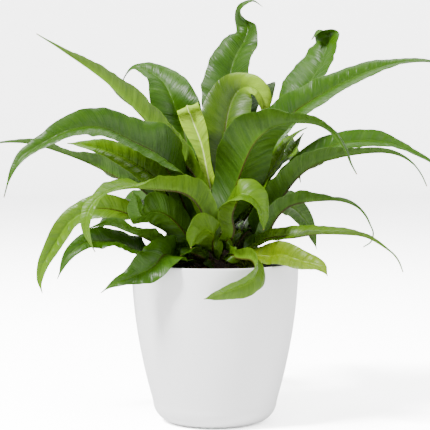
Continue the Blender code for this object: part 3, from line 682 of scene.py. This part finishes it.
class FERN_OT_crown(bpy.types.Operator):
    """Builds the crown: a fibrous dome with dry papery scales that point up and out"""
    bl_idname = "fern.crown"
    bl_label = "Crown"

    def execute(self, context):
        settings = context.scene.fern_crown
        outline = closer(meridian("crown"), longest=0.0012)
        piece = turn("crown_dome", outline, steps=96, shift=self.fibrous)
        fibre = earth("crown_fibre", settings.colour, settings.fibre_colour, flecks=0.6, strength=0.9)
        hand_over(piece, fibre, "crown")
        scaly = self.scales(settings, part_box("crown"))
        papery = earth("crown_scales", settings.scale_colour, settings.dry_colour, flecks=0.5, strength=0.3)
        hand_over(scaly, papery, None)
        return {"FINISHED"}

    @staticmethod
    def fibrous(point):
        """The dome's surface with upright ridges of fibre."""
        angle = math.atan2(point.y, point.x)
        ridge = uneven(Vector((math.cos(angle) * 5, math.sin(angle) * 5, point.z * 60)), 3)
        out = Vector((point.x, point.y, 0))
        return point + (out.normalized() if out.length > 1e-6 else out) * ridge * FIBRE_RIDGE

    def scales(self, settings, box):
        """Dry scales in a spiral round the dome, each a thin four-sided blade."""
        low, high = box
        radius = (high[0] - low[0]) / 2
        shoulder = low[2] + (high[2] - low[2]) * 0.3
        rise = high[2] - shoulder
        chance = np.random.default_rng(11)
        points, faces = [], []
        for k in range(settings.scales):
            climb = math.asin(chance.uniform(0.02, 0.99))
            angle = k * GOLDEN_ANGLE + chance.uniform(-0.3, 0.3)
            aim = np.array([math.cos(angle), math.sin(angle), 0])
            foot = aim * math.cos(climb) * radius + np.array([0, 0, shoulder + math.sin(climb) * rise])
            out = unit(aim * math.cos(climb) / radius + np.array([0, 0, math.sin(climb) / rise]))
            side = np.array([-aim[1], aim[0], 0])
            up = np.cross(out, side)
            up = up if up[2] > 0 else -up
            length = settings.scale_length * chance.uniform(0.6, 1.25)
            width = length * chance.uniform(0.12, 0.2)
            stand = chance.uniform(0.15, 0.6)
            lean = chance.uniform(-0.5, 0.5)
            base = len(points)
            for share, wide in ((0, 0.5), (0.35, 1), (0.7, 0.62), (1, 0.05)):
                spot = foot + up * length * share
                spot = spot + out * length * stand * share**1.6 + side * length * lean * share
                for u, lift in ((-1, 0), (0, 0.25), (1, 0), (0, 0.05)):
                    points.append(spot + side * width * wide * u + out * width * wide * lift)
            faces += tube_faces(base, 4, inside_out=True)
        return mesh_object("crown_scales", points, faces, smooth_angle=60)


# ---------------------------------------------------------------- fronds

# The blade's points across: shares of the half width, from the midrib to the margin and mirrored.
OUTWARDS = (0.085, 0.18, 0.32, 0.47, 0.62, 0.76, 0.88, 0.965, 1)
LANES = (*(-share for share in reversed(OUTWARDS)), 0, *OUTWARDS)


def sections(points, near, first):
    """The points in rings, each the neighbours of the one before, or nothing if one isn't of four points."""
    ring, seen, rings = set(first), set(), []
    while ring:
        if len(ring) != 4:
            return []
        rings.append(sorted(ring))
        seen |= ring
        ring = {n for i in ring for n in near[i]} - seen
    return rings


def eased(line, passes):
    """The line with its small kinks taken out, its two ends as they were."""
    for _ in range(passes):
        between = (line[:-2] + 2 * line[1:-1] + line[2:]) / 4
        line = np.vstack([line[:1], between, line[-1:]])
    return line


def blade_lines(node):
    """The solid frond's left margin, midrib, right margin and keel, each from the crown to the tip."""
    points, near = welded(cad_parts[node])
    low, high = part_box("crown")
    crown = np.array([0, 0, (low[2] + high[2]) / 2])
    nearest = np.argsort(np.linalg.norm(points - crown, axis=1))[:9].tolist()
    rings = next(filter(None, (sections(points, near, four) for four in combinations(nearest, 4))), None)
    if not rings:
        raise RuntimeError(f"{node}: its sections aren't all of four points")
    left, middle, right, keel = [], [], [], []
    for ring in rings:
        four = points[ring]
        gap = np.linalg.norm(four[:, None] - four[None], axis=2)
        a, b = np.unravel_index(gap.argmax(), gap.shape)
        others = [k for k in range(4) if k not in (a, b)]
        between = (four[a] + four[b]) / 2
        others.sort(key=lambda k: np.linalg.norm(four[k] - between))
        if left:
            straight = math.dist(four[a], left[-1]) + math.dist(four[b], right[-1])
            crossed = math.dist(four[b], left[-1]) + math.dist(four[a], right[-1])
            if straight > crossed:
                a, b = b, a
        left.append(four[a])
        right.append(four[b])
        middle.append(four[others[0]])
        keel.append(four[others[1]])
    left, middle, right, keel = (np.array(line) for line in (left, middle, right, keel))
    along = np.gradient(middle, axis=0)
    turned = (np.cross(middle - keel, along) * (right - left)).sum()
    return (left, middle, right, keel) if turned > 0 else (right, middle, left, keel)


def rolled(lines, settings):
    """The blade's lines with the tip wound forward into a scroll, at the top of a slightly longer blade."""
    middle = lines[1]
    share = np.linspace(0, 1, len(middle))
    start = int(settings.roll_start * len(middle))
    raised = smoothstep(0.25, settings.roll_start, share)[:, None] * np.array([0, 0, settings.roll_lift])
    left, middle, right, keel = (line + raised for line in lines)
    up = unit(middle[start] - middle[start - 3])
    side = right[start] - left[start]
    side = unit(side - (side @ up) * up)
    front = np.cross(side, up)
    front = front if front[1] < 0 else -front
    count = len(middle) - start
    angle = np.linspace(0, 2 * math.pi * settings.roll_turns, count)[:, None]
    radius = settings.roll_radius * np.linspace(1, 0.55, count)[:, None]
    centre = middle[start] + front * settings.roll_radius
    spot = centre + radius * (up * np.sin(angle) - front * np.cos(angle))
    inward = front * np.cos(angle) - up * np.sin(angle)
    half = side * np.linalg.norm(right[start] - left[start]) / 2
    flip = 1 if (middle[start] - keel[start]) @ front > 0 else -1
    for line, values in ((left, spot - half), (middle, spot), (right, spot + half),
                         (keel, spot - flip * inward * settings.blade)):
        line[start:] = values
    return [left, middle, right, keel]


def frond_surface(node, seed, settings):
    """The upper and lower points of the blade, row by row, and what the material reads at each of them."""
    frond = node.removeprefix(PREFIX)
    passes = EASING if frond in EASED else 0
    lines = [smooth_rows(eased(line, passes), settings.fineness) for line in blade_lines(node)]
    if frond == ROLLED:
        lines = rolled(lines, settings)
    left, middle, right, keel = lines
    rows = len(middle)
    share = np.linspace(0, 1, rows)
    run = np.concatenate([[0], np.cumsum(np.linalg.norm(np.diff(middle, axis=0), axis=1))])
    along = unit(np.gradient(middle, axis=0))
    face = middle - keel
    rib = np.linalg.norm(face, axis=1)
    face = unit(face - (face * along).sum(1)[:, None] * along)
    closing = np.minimum(1, TIP_WIDTH + (1 - TIP_WIDTH) * (1 - share) / TIP_TAPER)
    half = [np.linalg.norm(left - middle, axis=1), np.linalg.norm(right - middle, axis=1)]
    wide = (half[0] + half[1]) / 2
    calm = smoothstep(0.0, 0.18, share) * smoothstep(1.0, 0.86, share)
    leafy = smoothstep(STALK_HALF, LEAF_HALF, wide)
    wavy = WAVY.get(frond, 1)
    stalked = smoothstep(0.01, 0.12, share) * smoothstep(0.72, 0.34, share)
    wing = min(settings.wing, WING_LIMIT * wide.max()) * stalked

    upper, lower, values, marks = [], [], [], []
    for u in LANES:
        side = 0 if u < 0 else 1
        size = abs(u)
        edge = (left, right)[side] - middle
        phase = seed * 3.1 + side * 17.7
        full = np.hypot(half[side], wing) / half[side]
        reach = half[side] * full
        trim = full + TRIM_DEPTH * wavy * wander(run / TRIM_WAVE, phase + 5) * leafy * size
        ripple = wander(run / RIPPLE_WAVE, phase) + SMALL_RIPPLE * wander(run / SMALL_WAVE, phase + 9)
        ripple *= settings.ruffle * wavy * leafy * calm * size**2.4
        ripple *= RIPPLE_GAIN * np.clip(reach / FULL_RIPPLE, 0.5, 1.35)
        bow = BOW * reach * size * (1 - size) * (0.25 + 0.75 * leafy)
        vein = (run - VEIN_SLANT * size * reach) / VEIN_SPACING
        drift = 2 * wander(run / FOLD_WAVE, phase + 3)
        fold = settings.pleat * leafy * calm * np.sin(2 * math.pi * vein + drift)
        fold *= math.sin(math.pi * min(1, size * 1.15)) ** 0.7 if size < 0.87 else 0.5
        groove = -GROOVE * leafy * math.exp(-(size / GROOVE_WIDTH) ** 2)
        rise = ripple + bow + fold + groove
        top = middle + edge * (size * trim * closing)[:, None] + face * rise[:, None]
        thick = settings.blade * (0.45 + 0.55 * (1 - size**6)) * (0.55 + 0.45 * leafy)
        stem = np.clip(rib * 0.8, 0, STEM_RIB) * np.exp(-(size * reach / (0.35 * rib + 0.0006)) ** 2)
        upper.append(top)
        lower.append(top - face * (thick + stem)[:, None])
        values.append(np.stack([u * reach, run, share], axis=1))
        marks.append(np.full(rows, size))
    return [np.stack(part, axis=1) for part in (upper, lower, values, marks)]


def strip(one, other):
    """The faces between two rows of numbered points."""
    one, other = one.tolist(), other.tolist()
    return list(zip(one, one[1:], other[1:], other))


def frond_piece(node, seed, settings):
    """One blade, closed round its margin and at both ends, with what its material reads."""
    upper, lower, values, marks = frond_surface(node, seed, settings)
    rows, lanes = upper.shape[:2]
    count = rows * lanes
    top, under = np.arange(2 * count).reshape(2, rows, lanes)
    faces = strip(under[0], top[0]) + strip(top[-1], under[-1])
    faces += strip(top[:, 0], under[:, 0]) + strip(under[:, -1], top[:, -1])
    for row in range(rows - 1):
        faces += strip(top[row], top[row + 1])
    for lane in range(lanes - 1):
        faces += strip(under[:, lane], under[:, lane + 1])
    points = np.concatenate([upper.reshape(-1, 3), lower.reshape(-1, 3)])
    piece = mesh_object(node.replace(PREFIX, "leaf_"), points, faces, smooth_angle=62)
    add_values(piece, "blade", np.concatenate([values.reshape(-1, 3)] * 2))
    side = np.repeat([0, 1], count)
    add_values(piece, "leaf", np.stack([np.tile(marks.ravel(), 2), side, np.full(2 * count, seed)], axis=1))
    return piece


def fern_leaf():
    """A fern leaf: slanting side veins, a dark midrib and painted shade near the crown, a pale margin, a
    duller underside.
    """
    colours = ["Upper", "Under", "Vein", "Midrib", "Tip"]
    made, tree, start, end = group("fern_leaf", colours, ["Depth", "Paling", "Reach"])
    across, run, share = tree.stored("blade")
    size, underside, seed = tree.stored("leaf")
    distance = tree.math("ABSOLUTE", across)
    slant = tree.minus(run, tree.times(distance, VEIN_SLANT))
    spot = tree.add("CombineXYZ", {0: across, 1: run, 2: seed}).outputs[0]
    cloud = tree.noise(38.0, 3.0, spot)
    drift = tree.noise(120.0, 3.0, spot)
    bent = tree.plus(slant, tree.times(drift, 0.0016))
    lined = tree.add("CombineXYZ", {0: tree.times(distance, 0.10), 1: bent, 2: seed}).outputs[0]
    veins = tree.noise(760.0, 1.0, lined)
    coarse = tree.noise(210.0, 2.0, lined)
    fine = tree.noise(2400.0, 2.0, spot)

    top = start["Upper"]
    dark = tree.mix(1.0, top, (0.42, 0.55, 0.40, 1), "MULTIPLY")
    light = tree.mix(1.0, top, (1.45, 1.28, 1.35, 1), "MULTIPLY")
    # Painted shade: the leaf darkens towards the crown, where the fronds shade one another.
    crown_shade = tree.times(tree.ramp(share, 0.0, 0.42, 1.0, 0.0), start["Depth"])
    top = tree.layered(
        tree.mix(crown_shade, top, dark), (cloud, 0.45, 0.8, 0.65, light), (cloud, 0.45, 0.2, 0.5, dark),
        (coarse, 0.46, 0.68, 0.45, light), (coarse, 0.46, 0.30, 0.36, dark), (veins, 0.46, 0.26, 0.40, dark))
    below = tree.layered(
        start["Under"], (cloud, 0.4, 0.7, 0.5, start["Upper"]), (coarse, 0.46, 0.66, 0.26, start["Vein"]),
        (coarse, 0.46, 0.30, 0.38, dark), (veins, 0.48, 0.28, 0.38, dark))
    # The same painted shade near the crown, weaker, on the underside.
    below = tree.mix(tree.times(crown_shade, 0.55), below, dark)
    colour = tree.mix(underside, top, below)
    paling = tree.times(tree.ramp(share, 0.70, 0.84), start["Paling"])
    colour = tree.mix(paling, colour, start["Tip"])

    colour = tree.layered(colour, (size, 0.955, 0.995, 0.55, start["Vein"]))
    halo = tree.times(tree.ramp(distance, 0.0030, 0.0008, 0.0, 0.30), tree.ramp(share, 0.9, 0.6))
    colour = tree.mix(halo, colour, start["Vein"])
    rib_width = tree.ramp(share, 0.0, 0.9, 0.0009, 0.0004)
    rib = tree.minus(1.0, tree.ramp(tree.minus(distance, rib_width), -0.0003, 0.0003))
    brown = tree.times(rib, tree.ramp(tree.minus(share, start["Reach"]), 0.28, 0.0))
    pale = tree.times(rib, tree.ramp(share, 0.42, 0.70, 0.0, 0.6))
    colour = tree.mix(pale, colour, start["Vein"])
    colour = tree.mix(tree.times(brown, 0.92), colour, start["Midrib"])
    colour = tree.layered(colour, (share, 0.08, 0.015, 0.55, start["Midrib"]))
    speck = tree.add("TexVoronoi", {"Vector": spot, "Scale": 150.0})
    speckled = tree.ramp(speck.outputs["Distance"], 0.10, 0.05)
    mask = tree.times(speckled, tree.ramp(cloud, 0.62, 0.68))
    colour = tree.mix(tree.times(mask, 0.5), colour, (0.30, 0.24, 0.06, 1))
    colour = tree.layered(colour, (share, 0.988, 0.998, 0.7, (0.28, 0.16, 0.05, 1)))

    rough = tree.plus(tree.ramp(cloud, 0.3, 0.7, 0.30, 0.42), tree.times(underside, 0.16))
    rough = tree.plus(rough, tree.times(tree.minus(fine, 0.5), 0.12))
    height = tree.plus(tree.times(veins, 0.9), tree.times(coarse, 1.5))
    height = tree.plus(height, tree.times(fine, 0.12))
    height = tree.minus(height, tree.times(rib, 0.8))
    surface(tree, end, colour, rough, height)
    return made


def leaf_material(kind, settings, light):
    """One finish of leaf, lighter or darker than its kind by the given step."""
    name = f"leaf_{kind}_{round(light * 10):+d}".replace("+", "p").replace("-", "m")
    found = bpy.data.materials.get(name)
    if found:
        return found
    turning = kind == "turning"
    # The step makes the whole leaf lighter or darker; on fronds that lie in shade it is painted light.
    upper = np.array(settings.fresh if turning else getattr(settings, kind)) * (1 + light)
    under = upper * 0.92 + np.array([0.011, 0.015, 0.002])
    vein = upper * 1.5 + np.array([0.014, 0.020, 0.001])
    ribs = {"young": np.array(settings.young_rib), "yellowing": vein * np.array([1, 0.95, 0.4])}
    rib = ribs.get(kind, np.array(settings.midrib))
    tip = np.array(settings.young) if turning else upper * 1.35
    crown_shade, reach, paling = LEAF_KINDS[kind]
    return dressed(name, 0.35, fern_leaf, LEAF_BUMP, VEIN_HEIGHT, {"IOR": 1.45, "Specular IOR Level": 0.24},
                   Upper=rgba(upper), Under=rgba(under), Vein=rgba(vein), Midrib=rgba(rib), Tip=rgba(tip),
                   Depth=crown_shade, Reach=reach, Paling=paling)


class FERN_OT_fronds(bpy.types.Operator):
    """Builds every frond as a thin rippled blade with its midrib, along its solid frond"""
    bl_idname = "fern.fronds"
    bl_label = "Fronds"

    def execute(self, context):
        settings = context.scene.fern_fronds
        names = sorted(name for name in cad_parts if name.startswith(PREFIX))
        missing = [name for name in names if name.removeprefix(PREFIX) not in FROND_LOOKS]
        if missing:
            raise RuntimeError(f"no finish is set for {missing}")
        for seed, name in enumerate(names):
            kind, light = FROND_LOOKS[name.removeprefix(PREFIX)]
            piece = frond_piece(name, seed, settings)
            hand_over(piece, leaf_material(kind, settings, light), name)
        return {"FINISHED"}


# ---------------------------------------------------------------- stage

def aimed(thing, place, target):
    thing.location = place
    thing.rotation_euler = (Vector(target) - Vector(place)).to_track_quat("-Z", "Y").to_euler()
    bpy.context.scene.collection.objects.link(thing)


def area_light(name, place, target, size, power):
    data = bpy.data.lights.new(name, "AREA")
    data.shape = "DISK"
    data.size = size
    data.energy = power
    aimed(bpy.data.objects.new(name, data), place, target)


class FERN_OT_stage(bpy.types.Operator):
    """Sets the pale floor that curves up into a backdrop, the soft lights and the camera"""
    bl_idname = "fern.stage"
    bl_label = "Stage"

    def execute(self, context):
        settings = context.scene.fern_stage
        self.floor(settings)
        centre = (0, 0, settings.aim_height)
        area_light("key_light", (-1.3, -0.95, 1.95), centre, size=0.5, power=settings.key_power)
        area_light("fill_light", (1.5, -1.1, 0.9), centre, size=1.6, power=settings.fill_power)
        area_light("top_light", (0.1, 0.5, 1.9), centre, size=1.4, power=settings.top_power)
        world = bpy.data.worlds.new("soft_surround")
        world.use_nodes = True
        surround = world.node_tree.nodes["Background"].inputs
        surround["Color"].default_value = (1, 1, 1, 1)
        surround["Strength"].default_value = settings.sky
        context.scene.world = world
        camera = bpy.data.cameras.new("camera")
        camera.lens = settings.lens
        camera.sensor_width = 36
        camera.clip_start = 0.01
        made = bpy.data.objects.new("camera", camera)
        aimed(made, (0, -settings.camera_distance, settings.camera_height), centre)
        context.scene.camera = made
        return {"FINISHED"}

    @staticmethod
    def floor(settings):
        """A wide disc whose edge curves up all round, so that it looks plain from every side."""
        flat, curve = 4.0, 1.5
        rows = [(flat * k / 16, 0.0) for k in range(17)]
        for angle in np.linspace(0.1, 1.57, 14):
            rows.append((flat + curve * math.sin(angle), curve - curve * math.cos(angle)))
        rows += [(flat + curve, curve + 0.5 * k) for k in range(1, 6)]
        piece = turn("floor", rows[::-1], steps=96)
        made, tree, inputs = shader("floor_paint", 0.75)
        place = tree.add("TexCoord").outputs["Object"]
        bright = [value * settings.backdrop_gain for value in settings.floor_colour]
        seen = tree.add("LightPath").outputs["Is Camera Ray"]
        colour = tree.mix(seen, rgba(settings.floor_colour), rgba(bright))
        cloud = tree.times(tree.noise(6.0, 3.0, place), 0.02)
        colour = tree.mix(cloud, colour, (0.80, 0.79, 0.78, 1))
        tree.tree.links.new(colour, inputs["Base Color"])
        piece.data.materials.append(made)


# ---------------------------------------------------------------- panel and start

PIECES = (FERN_OT_cover_pot, FERN_OT_nursery_pot, FERN_OT_soil, FERN_OT_crown, FERN_OT_fronds, FERN_OT_stage)
SETTINGS = {"fern_pot": PotSettings, "fern_soil": SoilSettings, "fern_crown": CrownSettings,
            "fern_fronds": FrondSettings, "fern_stage": StageSettings}


class FERN_PT_sidebar(bpy.types.Panel):
    bl_label = "Potted Fern"
    bl_idname = "FERN_PT_sidebar"
    bl_space_type = "VIEW_3D"
    bl_region_type = "UI"
    bl_category = "Fern"

    def draw(self, context):
        for name in SETTINGS:
            box = self.layout.box()
            for label in SETTINGS[name].__annotations__:
                box.prop(getattr(context.scene, name), label)
        for piece in PIECES:
            self.layout.operator(piece.bl_idname)


def register():
    for name, kind in SETTINGS.items():
        bpy.utils.register_class(kind)
        setattr(bpy.types.Scene, name, PointerProperty(type=kind))
    for kind in (*PIECES, FERN_PT_sidebar):
        bpy.utils.register_class(kind)


def unregister():
    for kind in (FERN_PT_sidebar, *reversed(PIECES)):
        bpy.utils.unregister_class(kind)
    for name, kind in SETTINGS.items():
        delattr(bpy.types.Scene, name)
        bpy.utils.unregister_class(kind)


def main():
    register()
    for piece in PIECES:
        group_name, operator = piece.bl_idname.split(".")
        getattr(getattr(bpy.ops, group_name), operator)()
    bpy.context.view_layer.update()


if __name__ == "__main__":
    main()
